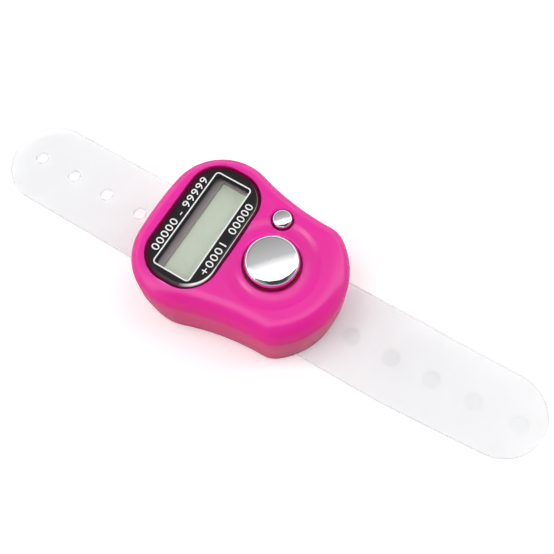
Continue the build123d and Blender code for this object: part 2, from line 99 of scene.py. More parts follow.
class Graph:
    """A node tree under construction."""

    def __init__(self, tree: bpy.types.NodeTree) -> None:
        """Empties a node tree and keeps it."""
        self.tree = tree
        tree.nodes.clear()

    def node(
        self, kind: str, inputs: dict[str | int, Any] | None = None, **settings: Any
    ) -> bpy.types.Node:
        """Adds a node.

        Args:
            kind: Node type.
            inputs: Socket name or number to a constant, or to a socket that feeds it.
            settings: Attributes to set on the node.

        Returns:
            The new node.
        """
        made = self.tree.nodes.new(kind)
        for name, value in settings.items():
            setattr(made, name, value)
        for key, value in (inputs or {}).items():
            if isinstance(value, bpy.types.NodeSocket):
                self.tree.links.new(value, made.inputs[key])
            else:
                made.inputs[key].default_value = value
        return made

    def math(self, operation: str, first: Any, second: Any = 0.0) -> bpy.types.NodeSocket:
        """Gives the result of a one-step calculation.

        Args:
            operation: Operation of the Math node.
            first: Socket or constant.
            second: Socket or constant.

        Returns:
            The result's socket.
        """
        return self.node("ShaderNodeMath", {0: first, 1: second}, operation=operation).outputs[0]

    def spread(self, share: Any, source: Span, target: Span) -> bpy.types.NodeSocket:
        """Maps a value from one range to another, held at both ends.

        Args:
            share: Socket to map.
            source: The value's range.
            target: The range to give.

        Returns:
            The mapped value's socket.
        """
        inputs = {0: share, 1: source[0], 2: source[1], 3: target[0], 4: target[1]}
        return self.node("ShaderNodeMapRange", inputs).outputs[0]

    def place(self) -> bpy.types.NodeSocket:
        """Gives the place on the object, in metres."""
        return self.node("ShaderNodeTexCoord").outputs["Object"]

    def height(self) -> bpy.types.NodeSocket:
        """Gives the height on the object, in metres."""
        return self.node("ShaderNodeSeparateXYZ", {0: self.place()}).outputs[2]

    def along(self, way: bpy.types.NodeSocket, direction: Point | Vector) -> bpy.types.NodeSocket:
        """Gives how far a direction points along another one.

        Args:
            way: Socket of the direction.
            direction: The other direction.

        Returns:
            The share's socket, from -1 to 1.
        """
        inputs = {0: way, 1: direction}
        return self.node("ShaderNodeVectorMath", inputs, operation="DOT_PRODUCT").outputs["Value"]

    def noise(self, size: float, detail: float = 2.0) -> bpy.types.NodeSocket:
        """Gives a cloudy value between 0 and 1.

        Args:
            size: Width of a cloud, in metres.
            detail: Octaves of finer clouds.

        Returns:
            The value's socket.
        """
        inputs = {"Vector": self.place(), "Scale": 1 / size, "Detail": detail}
        return self.node("ShaderNodeTexNoise", inputs).outputs["Fac"]

    def blend(self, share: Any, first: Any, second: Any) -> bpy.types.NodeSocket:
        """Mixes two colours.

        Args:
            share: Share of the second colour.
            first: Colour or socket.
            second: Colour or socket.

        Returns:
            The mixed colour's socket.
        """
        made = self.node("ShaderNodeMix", {0: share}, data_type="RGBA")
        for key, value in ((6, first), (7, second)):
            if isinstance(value, bpy.types.NodeSocket):
                self.tree.links.new(value, made.inputs[key])
            else:
                made.inputs[key].default_value = (*value, 1.0)
        return made.outputs[2]

    def between(self, share: Any, first: Any, second: Any) -> bpy.types.NodeSocket:
        """Mixes two values.

        Args:
            share: Share of the second value.
            first: Value or socket.
            second: Value or socket.

        Returns:
            The mixed value's socket.
        """
        return self.node("ShaderNodeMix", {0: share, 2: first, 3: second}, data_type="FLOAT").outputs[0]

    def relief(self, height: Any, depth: float) -> bpy.types.NodeSocket:
        """Gives a normal that follows a height.

        Args:
            height: Height between 0 and 1.
            depth: What a height of 1 stands for, in metres.

        Returns:
            The normal's socket.
        """
        return self.node("ShaderNodeBump", {"Height": height, "Distance": depth}).outputs["Normal"]

    def frame_distance(self, centre: Place, half: Place, corner: float) -> bpy.types.NodeSocket:
        """Gives the distance outside a rounded rectangle, which falls to minus the corner radius inside it.

        Args:
            centre: Middle of the rectangle in X and Y.
            half: Half its width and half its depth.
            corner: Radius of its corners.

        Returns:
            The distance's socket, in metres.
        """
        split = self.node("ShaderNodeSeparateXYZ", {0: self.place()})
        squares = []
        for axis in range(2):
            offset = self.math("ABSOLUTE", self.math("SUBTRACT", split.outputs[axis], centre[axis]))
            over = self.math("MAXIMUM", self.math("SUBTRACT", offset, half[axis] - corner), 0.0)
            squares.append(self.math("MULTIPLY", over, over))
        reach = self.math("SQRT", self.math("ADD", squares[0], squares[1]))
        return self.math("SUBTRACT", reach, corner)

    def cover(
        self, share: bpy.types.NodeSocket, first: bpy.types.NodeSocket, second: bpy.types.NodeSocket
    ) -> bpy.types.NodeSocket:
        """Mixes two shaders.

        Args:
            share: Share of the second shader.
            first: Shader's socket.
            second: Shader's socket.

        Returns:
            The mixed shader's socket.
        """
        return self.node("ShaderNodeMixShader", {0: share, 1: first, 2: second}).outputs[0]

    def surface(self, shader: bpy.types.NodeSocket) -> None:
        """Feeds a shader to the material's surface."""
        self.node("ShaderNodeOutputMaterial", {"Surface": shader})


def new_material(name: str) -> tuple[bpy.types.Material, Graph]:
    """Starts a material.

    Args:
        name: The material's name.

    Returns:
        The material and its empty node tree.
    """
    material = bpy.data.materials.new(name)
    material.use_nodes = True
    return material, Graph(material.node_tree)


@dataclass(frozen=True)
class MouldedPlastic:
    """Plastic or rubber with a faint mottle, a drifting roughness and a moulded grain.

    It may also let light bleed under its surface, and carry painted shade: a deeper, redder colour low down
    on its walls.
    """

    name: str
    colour: Colour
    shade: Colour
    roughness: float = 0.3
    drift: float = 0.06
    mottle_size: float = 6.0 * MM
    grain_size: float = 0.25 * MM
    grain_depth: float = 0.002 * MM
    refraction: float = 1.45
    bleed: float = 0.0
    bleed_reach: Colour = (1.0, 0.1, 0.25)
    bleed_depth: float = 1.0 * MM
    # Painted shade low on the walls: its colour, and the heights over which it fades out.
    painted_shade_colour: Colour | None = None
    painted_shade_span: Span = (0.0, 10.0 * MM)

    def build(self) -> bpy.types.Material:
        """Makes the material.

        Returns:
            The material.
        """
        material, graph = new_material(self.name)
        paint = graph.blend(graph.noise(self.mottle_size, CLOUD_DETAIL), self.colour, self.shade)
        # Painted shade: the colour turns deeper and redder towards the bottom, where the walls look
        # shadowed.
        if self.painted_shade_colour is not None:
            low = graph.spread(graph.height(), self.painted_shade_span, (1.0, 0.0))
            paint = graph.blend(low, paint, self.painted_shade_colour)
        dullness = (self.roughness - self.drift, self.roughness + self.drift)
        inputs = {
            "Base Color": paint,
            "Roughness": graph.spread(graph.noise(self.mottle_size / 2), CLOUD_SPAN, dullness),
            "Normal": graph.relief(graph.noise(self.grain_size), self.grain_depth),
            "IOR": self.refraction,
            "Subsurface Weight": self.bleed,
            "Subsurface Radius": self.bleed_reach,
            "Subsurface Scale": self.bleed_depth,
        }
        graph.surface(graph.node("ShaderNodeBsdfPrincipled", inputs).outputs[0])
        return material


@dataclass(frozen=True)
class PolishedMetal:
    """Bright metal or plating with faint handling smudges."""

    name: str
    colour: Colour
    shade: Colour
    roughness: float = 0.06
    smudge: float = 0.04
    smudge_size: float = 2.5 * MM
    grain_size: float = 0.2 * MM
    grain_depth: float = 0.0004 * MM

    def build(self) -> bpy.types.Material:
        """Makes the material.

        Returns:
            The material.
        """
        material, graph = new_material(self.name)
        cloud = graph.noise(self.smudge_size, SMUDGE_DETAIL)
        inputs = {
            "Base Color": graph.blend(cloud, self.colour, self.shade),
            "Metallic": 1.0,
            "Roughness": graph.spread(cloud, SMUDGE_SPAN, (self.roughness, self.roughness + self.smudge)),
            "Normal": graph.relief(graph.noise(self.grain_size), self.grain_depth),
        }
        graph.surface(graph.node("ShaderNodeBsdfPrincipled", inputs).outputs[0])
        return material


@dataclass(frozen=True)
class PlatedCap:
    """Button cap with a chromed head over a flange of bare pink plastic."""

    name: str
    plate_from: float
    plate: Colour = (0.93, 0.93, 0.94)
    smudged: Colour = (0.88, 0.88, 0.9)
    bare: Colour = (0.8, 0.03, 0.17)
    roughness: float = 0.03
    smudge: float = 0.03
    smudge_size: float = 2.5 * MM
    bare_roughness: float = 0.5
    grain_size: float = 0.2 * MM
    grain_depth: float = 0.0003 * MM

    def build(self) -> bpy.types.Material:
        """Makes the material.

        Returns:
            The material.
        """
        material, graph = new_material(self.name)
        plated = graph.math("GREATER_THAN", graph.height(), self.plate_from)
        cloud = graph.noise(self.smudge_size, SMUDGE_DETAIL)
        polish = graph.spread(cloud, SMUDGE_SPAN, (self.roughness, self.roughness + self.smudge))
        inputs = {
            "Base Color": graph.blend(plated, self.bare, graph.blend(cloud, self.plate, self.smudged)),
            "Metallic": plated,
            "Roughness": graph.between(plated, self.bare_roughness, polish),
            "Normal": graph.relief(graph.noise(self.grain_size), self.grain_depth),
        }
        graph.surface(graph.node("ShaderNodeBsdfPrincipled", inputs).outputs[0])
        return material


@dataclass(frozen=True)
class ClearVinyl:
    """Soft clear plastic: each wall lets most light through and adds a little milk and gloss."""

    name: str
    colour: Colour
    shade: Colour
    milk: Span
    edge_milk: float
    edge_slant: Span = (0.45, 1.0)
    refraction: float = 1.4
    roughness: float = 0.22
    cloud_size: float = 9.0 * MM
    grain_size: float = 0.6 * MM
    grain_depth: float = 0.01 * MM

    def build(self) -> bpy.types.Material:
        """Makes the material.

        Returns:
            The material.
        """
        material, graph = new_material(self.name)
        cloud = graph.noise(self.cloud_size, CLOUD_DETAIL)
        slant = graph.node("ShaderNodeLayerWeight", {"Blend": 0.5}).outputs["Facing"]
        edge = graph.spread(slant, self.edge_slant, (0.0, self.edge_milk))
        inputs = {
            "Base Color": graph.blend(cloud, self.colour, self.shade),
            "Roughness": self.roughness,
            "IOR": self.refraction,
            "Alpha": graph.math("ADD", graph.spread(cloud, CLOUD_SPAN, self.milk), edge),
            "Normal": graph.relief(graph.noise(self.grain_size), self.grain_depth),
        }
        graph.surface(graph.node("ShaderNodeBsdfPrincipled", inputs).outputs[0])
        return material


@dataclass(frozen=True)
class PrintedWindow:
    """Clear lens with a black border, a printed white line, a painted white highlight and a dark rim of
    painted shade.

    One printed line goes round the window. The other line is a painted highlight, a glint following the
    lens's lower
    edge: it starts beside the window's low corner, wide at first, and fades towards the far end.
    """

    name: str
    window_centre: Place
    window_half: Place
    window_corner: float
    line_width: float
    lens_centre: Place
    lens_half: Place
    lens_corner: float
    # Painted highlight along the lens's lower edge: how far in it lies and how wide it is.
    highlight_inset: float
    highlight_width: Span
    print_from: float
    line_softness: float = 0.03 * MM
    # Where the painted highlight starts across the lens, and how it fades along it.
    highlight_rise: Span = (1.2 * MM, -0.8 * MM)
    highlight_fade: Span = (1.0, 0.1)
    fade_margin: float = 1.0 * MM
    black: Colour = (0.014, 0.012, 0.013)
    white: Colour = (0.92, 0.92, 0.92)
    # Painted shade: the border's underside, seen through the window, is mauve-grey like the shadowed pink
    # window wall.
    under: Colour = (0.24, 0.19, 0.215)
    # Painted shade: the lens's outer band is dark pink, for the shadowed gap between lens and shell.
    rim: Colour = (0.11, 0.005, 0.034)
    gap_shade_span: Span = (-0.6 * MM, -0.35 * MM)
    rim_roughness: float = 0.5
    border_roughness: Span = (0.05, 0.1)
    border_refraction: float = 1.36
    smear_size: float = 3.0 * MM
    tint: Colour = (0.97, 0.98, 0.97)
    pane_roughness: float = 0.03
    shine: float = 0.035
    shine_rise: float = 5.0

    def build(self) -> bpy.types.Material:
        """Makes the material.

        Returns:
            The material.
        """
        material, graph = new_material(self.name)
        edge = graph.frame_distance(self.lens_centre, self.lens_half, self.lens_corner)
        sash = graph.frame_distance(self.window_centre, self.window_half, self.window_corner)
        # Painted shade on the lens's outer band, for the shadowed gap at the shell.
        gap_shade_share = graph.spread(edge, self.gap_shade_span, (0.0, 1.0))
        solid = graph.cover(gap_shade_share, self.border(graph, sash, edge), self.gap_shade_shader(graph))
        inside = graph.spread(sash, (-self.line_width - self.line_softness, -self.line_width), (1.0, 0.0))
        graph.surface(graph.cover(inside, solid, self.pane(graph)))
        return material

    def border(
        self, graph: Graph, sash: bpy.types.NodeSocket, edge: bpy.types.NodeSocket
    ) -> bpy.types.NodeSocket:
        """Makes the printed border, glossy over its ink, with the painted highlight and a painted-shade
        underside.

        Args:
            graph: The material's node tree.
            sash: Distance outside the window's line.
            edge: Distance outside the lens's edge.

        Returns:
            The border's shader.
        """
        frame = graph.spread(sash, (0.0, self.line_softness), (1.0, 0.0))
        # ink joins the printed window line and the painted highlight along the lower edge.
        ink = graph.math("MAXIMUM", frame, self.painted_highlight_line(graph, edge))
        face = graph.math("GREATER_THAN", graph.height(), self.print_from)
        smear = graph.noise(self.smear_size, CLOUD_DETAIL)
        inputs = {
            # Below print_from the border wears that painted shade on its underside.
            "Base Color": graph.blend(face, self.under, graph.blend(ink, self.black, self.white)),
            "Roughness": graph.spread(smear, CLOUD_SPAN, self.border_roughness),
            "IOR": self.border_refraction,
        }
        return graph.node("ShaderNodeBsdfPrincipled", inputs).outputs[0]

    def gap_shade_shader(self, graph: Graph) -> bpy.types.NodeSocket:
        """Makes the dark rim: painted shade for the shadowed gap where the lens's edge meets the shell
        beside it.

        Args:
            graph: The material's node tree.

        Returns:
            The rim's shader.
        """
        inputs = {
            "Base Color": (*self.rim, 1.0),
            "Roughness": self.rim_roughness,
            "Specular IOR Level": 0.0,
        }
        return graph.node("ShaderNodeBsdfPrincipled", inputs).outputs[0]

    def pane(self, graph: Graph) -> bpy.types.NodeSocket:
        """Makes the clear window, which shines more the flatter it is looked at.

        Args:
            graph: The material's node tree.

        Returns:
            The window's shader.
        """
        clear = graph.node("ShaderNodeBsdfTransparent", {"Color": (*self.tint, 1.0)})
        gloss = graph.node("ShaderNodeBsdfGlossy", {"Color": WHITE, "Roughness": self.pane_roughness})
        slant = graph.node("ShaderNodeLayerWeight", {"Blend": 0.5}).outputs["Facing"]
        rise = graph.math("POWER", slant, self.shine_rise)
        shine = graph.spread(rise, (0.0, 1.0), (self.shine, 1.0))
        return graph.cover(shine, clear.outputs[0], gloss.outputs[0])

    def painted_highlight_line(self, graph: Graph, edge: bpy.types.NodeSocket) -> bpy.types.NodeSocket:
        """Gives the strength of the painted highlight, a thin glint inside the lens's lower edge.

        Args:
            graph: The material's node tree.
            edge: Distance outside the lens's edge.

        Returns:
            The strength's socket, fading towards the far end.
        """
        split = graph.node("ShaderNodeSeparateXYZ", {0: graph.place()})
        offset = graph.math("ABSOLUTE", graph.math("ADD", edge, self.highlight_inset))
        start = -self.window_half[0]
        width = graph.spread(split.outputs[0], (start, start / 2), self.highlight_width)
        near = graph.math("LESS_THAN", offset, width)
        sill = self.window_centre[1] - self.window_half[1]
        rise = (sill + self.highlight_rise[0], sill + self.highlight_rise[1])
        low = graph.spread(split.outputs[1], rise, (0.0, 1.0))
        fade = graph.spread(split.outputs[0], (0.0, self.lens_half[0] - self.fade_margin), self.highlight_fade)
        return graph.math("MULTIPLY", graph.math("MULTIPLY", near, low), fade)


@dataclass(frozen=True)
class FloorPaint:
    """Matt white floor, lifted to plain white where it is seen.

    It is greyer in the light that it throws back, and darker in reflections.
    """

    name: str = "floor_paint"
    colour: Colour = (0.93, 0.93, 0.93)
    shade: Colour = (0.9, 0.9, 0.9)
    bounced: Colour = (0.8, 0.8, 0.8)
    mirrored: Colour = (0.5, 0.5, 0.5)
    lift: float = 0.26
    cloud_size: float = 80 * MM
    roughness: float = 0.9
    gloss: float = 0.1

    def build(self) -> bpy.types.Material:
        """Makes the material.

        Returns:
            The material.
        """
        material, graph = new_material(self.name)
        path = graph.node("ShaderNodeLightPath")
        paint = graph.blend(graph.noise(self.cloud_size), self.colour, self.shade)
        paint = graph.blend(path.outputs["Is Diffuse Ray"], paint, self.bounced)
        inputs = {
            "Base Color": graph.blend(path.outputs["Is Glossy Ray"], paint, self.mirrored),
            "Roughness": self.roughness,
            "Specular IOR Level": self.gloss,
            "Emission Color": WHITE,
            "Emission Strength": graph.spread(path.outputs["Is Camera Ray"], (0.0, 1.0), (0.0, self.lift)),
        }
        graph.surface(graph.node("ShaderNodeBsdfPrincipled", inputs).outputs[0])
        return material


PINK_PLASTIC = MouldedPlastic(
    name="pink_plastic",
    colour=(0.87, 0.027, 0.39),
    shade=(0.84, 0.024, 0.37),
    roughness=0.22,
    drift=0.03,
    grain_size=1.2 * MM,
    grain_depth=0.003 * MM,
    refraction=1.42,
    bleed=0.5,
    bleed_depth=1.5 * MM,
    # Painted shade: deeper red walls, full below 9.5 mm and gone by 13.4 mm.
    painted_shade_colour=(0.91, 0.011, 0.215),
    painted_shade_span=(9.5 * MM, 13.4 * MM),
)
CHROME_PLATE = PlatedCap("chrome_plate", plate_from=11.35 * MM)
SCREW_STEEL = PolishedMetal("screw_steel", (0.55, 0.55, 0.56), (0.42, 0.42, 0.43), 0.28, 0.12)
CELL_STEEL = PolishedMetal("cell_steel", (0.72, 0.72, 0.7), (0.62, 0.62, 0.6), 0.22, 0.1)
CONTACT_STRIP = PolishedMetal("contact_strip", (0.74, 0.62, 0.4), (0.6, 0.5, 0.32), 0.25, 0.1)
VINYL = ClearVinyl(
    "clear_vinyl", (0.815, 0.825, 0.85), (0.795, 0.805, 0.83), milk=(0.2, 0.23), edge_milk=0.4
)
PEG_VINYL = ClearVinyl(
    "peg_vinyl", (0.88, 0.88, 0.9), (0.85, 0.85, 0.87), milk=(0.01, 0.02), edge_milk=0.07
)
WHITE_PLASTIC = MouldedPlastic("white_plastic", (0.78, 0.78, 0.76), (0.7, 0.7, 0.68), 0.4)
HOLDER_PLASTIC = MouldedPlastic("holder_plastic", (0.4, 0.33, 0.36), (0.34, 0.29, 0.31), 0.35)
BOARD_GREEN = MouldedPlastic(
    "board_resin", (0.03, 0.16, 0.06), (0.02, 0.11, 0.04), 0.35, mottle_size=2 * MM
)
POTTING = MouldedPlastic("potting", (0.012, 0.012, 0.013), (0.02, 0.02, 0.021), 0.3)
COMPONENT_BODY = MouldedPlastic(
    "component_body", (0.16, 0.11, 0.07), (0.08, 0.055, 0.035), 0.45, mottle_size=0.8 * MM
)
ZEBRA_RUBBER = MouldedPlastic(
    "zebra_rubber", (0.3, 0.26, 0.22), (0.05, 0.05, 0.05), 0.6, mottle_size=0.2 * MM
)
KEY_RUBBER = MouldedPlastic("key_rubber", (0.55, 0.55, 0.53), (0.47, 0.47, 0.45), 0.65)
PILL_RUBBER = MouldedPlastic("pill_rubber", (0.02, 0.02, 0.02), (0.03, 0.03, 0.03), 0.7)
ADHESIVE = MouldedPlastic("adhesive_tape", (0.3, 0.25, 0.27), (0.26, 0.22, 0.24), 0.8)
MASK_PRINT = MouldedPlastic("mask_print", (0.008, 0.008, 0.009), (0.012, 0.012, 0.013), 0.3)
PANEL_FILM = MouldedPlastic(
    name="panel_film",
    colour=(0.76, 0.82, 0.7),
    shade=(0.72, 0.78, 0.66),
    roughness=0.3,
    mottle_size=5 * MM,
    grain_size=0.12 * MM,
)
PANEL_GLASS = MouldedPlastic("panel_glass", (0.6, 0.65, 0.58), (0.55, 0.6, 0.53), 0.1, 0.03)
PANEL_MIRROR = MouldedPlastic("panel_mirror", (0.7, 0.72, 0.66), (0.64, 0.66, 0.6), 0.35)
WHITE_INK = MouldedPlastic("white_ink", (0.9, 0.9, 0.9), (0.85, 0.85, 0.85), 0.35)

NODE_FINISHES: dict[MouldedPlastic | PolishedMetal | PlatedCap, tuple[str, ...]] = {
    PINK_PLASTIC: ("front_shell", "rear_cover"),
    CHROME_PLATE: ("count_button", "reset_button"),
    SCREW_STEEL: ("case_screws", "board_screws"),
    CELL_STEEL: ("button_cell",),
    CONTACT_STRIP: ("negative_contact", "positive_contact"),
    WHITE_PLASTIC: ("battery_tray",),
    HOLDER_PLASTIC: ("lcd_holder",),
    BOARD_GREEN: ("circuit_board",),
    POTTING: ("chip_blob",),
    COMPONENT_BODY: ("board_components",),
    ZEBRA_RUBBER: ("zebra_strip_upper", "zebra_strip_lower"),
    KEY_RUBBER: ("count_dome", "reset_dome"),
    PILL_RUBBER: ("count_pill", "reset_pill"),
    ADHESIVE: ("lens_adhesive",),
    MASK_PRINT: ("lens_mask",),
    PANEL_FILM: ("lcd_front_polariser",),
    PANEL_GLASS: ("lcd_front_glass", "lcd_rear_glass"),
    PANEL_MIRROR: ("lcd_reflector",),
}


class Pen:
    """Draws a flat closed outline in a mesh, from runs and arcs."""

    def __init__(self, mesh: bmesh.types.BMesh, start: Vector, axis: Vector) -> None:
        """Starts the outline.

        Args:
            mesh: Mesh to draw in.
            start: First point.
            axis: Direction that the outline faces, about which its arcs turn.
        """
        self.mesh = mesh
        self.axis = axis
        self.first = bmesh.ops.create_vert(mesh, co=start)["vert"][0]
        self.last = self.first

    def run(self, point: Vector) -> "Pen":
        """Draws a straight run from the last point.

        Args:
            point: Where it ends.

        Returns:
            The pen itself.
        """
        made = bmesh.ops.extrude_vert_indiv(self.mesh, verts=[self.last])["verts"][0]
        made.co = point
        self.last = made
        return self

    def arc(self, centre: Vector, angle: float, steps: int) -> "Pen":
        """Draws an arc from the last point.

        Args:
            centre: Middle of the arc.
            angle: Turn about the outline's axis, in radians.
            steps: Number of edges.

        Returns:
            The pen itself.
        """
        made = bmesh.ops.spin(
            self.mesh,
            geom=[self.last],
            cent=centre,
            axis=self.axis,
            angle=angle,
            steps=steps,
            use_merge=False,
        )
        self.last = next(item for item in made["geom_last"] if isinstance(item, bmesh.types.BMVert))
        return self

    def close(self) -> bmesh.types.BMFace:
        """Closes the outline and fills it.

        Returns:
            The face inside the outline.
        """
        verts = self.outline()
        if (self.last.co - self.first.co).length > WELD:
            self.mesh.edges.new((self.last, self.first))
        bmesh.ops.remove_doubles(self.mesh, verts=verts, dist=WELD)
        edges = {edge for vert in verts if vert.is_valid for edge in vert.link_edges}
        return bmesh.ops.contextual_create(self.mesh, geom=list(edges))["faces"][0]

    def outline(self) -> list[bmesh.types.BMVert]:
        """Gives the outline's points in order.

        Returns:
            Its vertices, from the first to the last.
        """
        found = [self.first]
        edge = None
        while found[-1] is not self.last:
            edge = next(other for other in found[-1].link_edges if other is not edge)
            found.append(edge.other_vert(found[-1]))
        return found


def arc_over(half_chord: float, height: float) -> tuple[float, float]:
    """Gives the arc over a chord.

    Args:
        half_chord: Half the chord.
        height: The arc's height over it.

    Returns:
        Its radius and its full angle in radians.
    """
    radius = (half_chord**2 + height**2) / (2 * height)
    angle = 2 * math.asin(min(1.0, half_chord / radius))
    return radius, angle if height <= radius else 2 * math.pi - angle


def add_piece(
    name: str, mesh: bpy.types.Mesh, material: bpy.types.Material, body: Body
) -> bpy.types.Object:
    """Adds a finished mesh to the scene as a piece of the counter.

    Args:
        name: The piece's name.
        mesh: Its mesh, in place.
        material: Its finish.
        body: The body that it rides on.

    Returns:
        The piece.
    """
    made = bpy.data.objects.new(name, mesh)
    bpy.context.scene.collection.objects.link(made)
    mesh.materials.clear()
    mesh.materials.append(material)
    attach(made, body.value)
    log.info("piece %s rides on %s", name, body.value)
    return made


def to_mesh(name: str, source: bmesh.types.BMesh, smooth_below: float = math.radians(35)) -> bpy.types.Mesh:
    """Turns a working mesh into a finished one.

    Args:
        name: The mesh's name.
        source: Working mesh, which is freed.
        smooth_below: Edges that turn by more stay sharp, in radians.

    Returns:
        The finished mesh.
    """
    for face in source.faces:
        face.smooth = True
    for edge in source.edges:
        edge.smooth = len(edge.link_faces) != 2 or edge.calc_face_angle() < smooth_below
    mesh = bpy.data.meshes.new(name)
    source.to_mesh(mesh)
    source.free()
    return mesh


@dataclass
class Strap:
    """Clear band that runs through the rear cover, with holes in one tail and pegs under the other."""

    width: float = 16.0 * MM
    thickness: float = 0.9 * MM
    underside: float = 1.1 * MM
    hole_tip: float = 51.4 * MM
    hole_end: float = 7.2 * MM
    hole_radius: float = 1.15 * MM
    nearest_hole: float = 23.45 * MM
    hole_count: int = 4
    pitch: float = 7.55 * MM
    peg_tip: float = -55.3 * MM
    peg_end: float = 6.6 * MM
    peg_end_inset: float = 0.7 * MM
    taper_start: float = -30.0 * MM
    nearest_peg: float = -21.2 * MM
    peg_count: int = 5
    peg_radius: float = 1.1 * MM
    peg_stem: float = 0.5 * MM
    peg_head_radius: float = 1.6 * MM
    peg_head: float = 0.55 * MM
    peg_head_round: float = 0.25 * MM
    curl_start: float = -17.8 * MM
    curl_radius: float = 174.0 * MM
    curl_slices: int = 30
    edge_round: float = 0.2 * MM
    edge_segments: int = 3
    edge_angle: float = math.radians(50)
    punch_depth: float = 3.6 * MM
    peg_steps: int = 32
    peg_round_steps: int = 5

    def build(self) -> None:
        """Makes the band and its pegs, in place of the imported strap."""
        band = add_piece("strap_band", self.band(), VINYL.build(), Body.STRAP)
        pegs = add_piece("strap_pegs", self.pegs(), PEG_VINYL.build(), Body.STRAP)
        self.punch(band)
        rounding = band.modifiers.new("soft edges", "BEVEL")
        rounding.width = self.edge_round
        rounding.segments = self.edge_segments
        rounding.limit_method = "ANGLE"
        rounding.angle_limit = self.edge_angle
        rounding.harden_normals = True
        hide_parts("strap")
        log.info("%s and %s stand for the packed strap", band.name, pegs.name)

    def outline(self, mesh: bmesh.types.BMesh) -> bmesh.types.BMFace:
        """Draws the band's outline, flat.

        Args:
            mesh: Mesh to draw in.

        Returns:
            The filled outline.
        """
        half = self.width / 2
        peg_half = half - self.peg_end_inset
        low = self.underside
        hole_arc, hole_turn = arc_over(half, self.hole_end)
        peg_arc, peg_turn = arc_over(peg_half, self.peg_end)
        pen = Pen(mesh, Vector((half, self.hole_tip - self.hole_end, low)), Vector((0, 0, 1)))
        pen.arc(Vector((0, self.hole_tip - hole_arc, low)), hole_turn, ROUND_STEPS)
        pen.run(Vector((-half, self.taper_start, low)))
        pen.run(Vector((-peg_half, self.peg_tip + self.peg_end, low)))
        pen.arc(Vector((0, self.peg_tip + peg_arc, low)), peg_turn, ROUND_STEPS)
        pen.run(Vector((half, self.taper_start, low)))
        return pen.close()

    def band(self) -> bpy.types.Mesh:
        """Makes the band, sliced and curled up towards its peg end.

        Returns:
            The band's mesh, without its holes.
        """
        mesh = bmesh.new()
        face = self.outline(mesh)
        made = bmesh.ops.extrude_face_region(mesh, geom=[face])["geom"]
        top = [item for item in made if isinstance(item, bmesh.types.BMVert)]
        bmesh.ops.translate(mesh, verts=top, vec=(0, 0, self.thickness))
        bmesh.ops.recalc_face_normals(mesh, faces=mesh.faces)
        step = (self.curl_start - self.peg_tip) / self.curl_slices
        for index in range(self.curl_slices):
            bmesh.ops.bisect_plane(
                mesh,
                geom=mesh.verts[:] + mesh.edges[:] + mesh.faces[:],
                plane_co=(0, self.curl_start - index * step, 0),
                plane_no=(0, 1, 0),
            )
        for vert in mesh.verts:
            vert.co = self.curled(vert.co)
        return to_mesh("strap_band", mesh)

    def curled(self, flat: Vector) -> Vector:
        """Gives where a point of the flat band lies once its peg end curls up.

        Args:
            flat: Point of the flat band.

        Returns:
            Its place on the curl.
        """
        reach = self.curl_start - flat.y
        if reach <= 0:
            return flat.copy()
        turn = math.asin(reach / self.curl_radius)
        radius = self.curl_radius - (flat.z - self.underside)
        lift = self.underside + self.curl_radius - radius * math.cos(turn)
        return Vector((flat.x, self.curl_start - radius * math.sin(turn), lift))

    def punch(self, band: bpy.types.Object) -> None:
        """Cuts the holes through the hole tail.

        Args:
            band: The band's object.
        """
        mesh = bmesh.new()
        for index in range(self.hole_count):
            bmesh.ops.create_cone(
                mesh,
                cap_ends=True,
                segments=ROUND_STEPS,
                radius1=self.hole_radius,
                radius2=self.hole_radius,
                depth=self.punch_depth,
                matrix=Matrix.Translation((0, self.nearest_hole + index * self.pitch, self.underside)),
            )
        cutter = bpy.data.objects.new("hole_punch", to_mesh("hole_punch", mesh))
        bpy.context.scene.collection.objects.link(cutter)
        cut = band.modifiers.new("holes", "BOOLEAN")
        cut.object = cutter
        cut.operation = "DIFFERENCE"
        cut.solver = "EXACT"
        bpy.context.view_layer.update()
        graph = bpy.context.evaluated_depsgraph_get()
        punched = bpy.data.meshes.new_from_object(band.evaluated_get(graph))
        band.modifiers.remove(cut)
        band.data = punched
        bpy.data.objects.remove(cutter)

    def pegs(self) -> bpy.types.Mesh:
        """Makes the mushroom pegs, square to the curled underside.

        Returns:
            The mesh of all the pegs.
        """
        mesh = bmesh.new()
        for index in range(self.peg_count):
            foot = self.curled(Vector((0, self.nearest_peg - index * self.pitch, self.underside)))
            turn = math.asin((self.curl_start - foot.y) / self.curl_radius)
            peg = self.peg()
            bmesh.ops.transform(
                peg,
                matrix=Matrix.Translation(foot) @ Matrix.Rotation(-turn, 4, "X"),
                verts=peg.verts,
            )
            part = bpy.data.meshes.new("peg")
            peg.to_mesh(part)
            peg.free()
            mesh.from_mesh(part)
            bpy.data.meshes.remove(part)
        return to_mesh("strap_pegs", mesh)

    def peg(self) -> bmesh.types.BMesh:
        """Turns one peg, hanging down from the origin.

        Returns:
            The peg's working mesh.
        """
        mesh = bmesh.new()
        end = -self.peg_stem - self.peg_head
        round_centre = Vector((self.peg_head_radius - self.peg_head_round, 0, end + self.peg_head_round))
        pen = Pen(mesh, Vector((0, 0, 0)), Vector((0, 1, 0)))
        pen.run(Vector((self.peg_radius, 0, 0)))
        pen.run(Vector((self.peg_radius, 0, -self.peg_stem)))
        pen.run(Vector((self.peg_head_radius, 0, -self.peg_stem)))
        pen.run(Vector((self.peg_head_radius, 0, end + self.peg_head_round)))
        pen.arc(round_centre, math.radians(90), self.peg_round_steps)
        pen.run(Vector((0, 0, end)))
        bmesh.ops.spin(
            mesh,
            geom=pen.outline() + mesh.edges[:],
            cent=(0, 0, 0),
            axis=(0, 0, 1),
            angle=2 * math.pi,
            steps=self.peg_steps,
            use_merge=True,
        )
        bmesh.ops.remove_doubles(mesh, verts=mesh.verts, dist=WELD)
        bmesh.ops.recalc_face_normals(mesh, faces=mesh.faces)
        return mesh


@dataclass(frozen=True)
class Marking:
    """A row of plain figures printed on the lens."""

    name: str
    figures: str
    centre: Place
    width: float
    height: float = 1.36 * MM


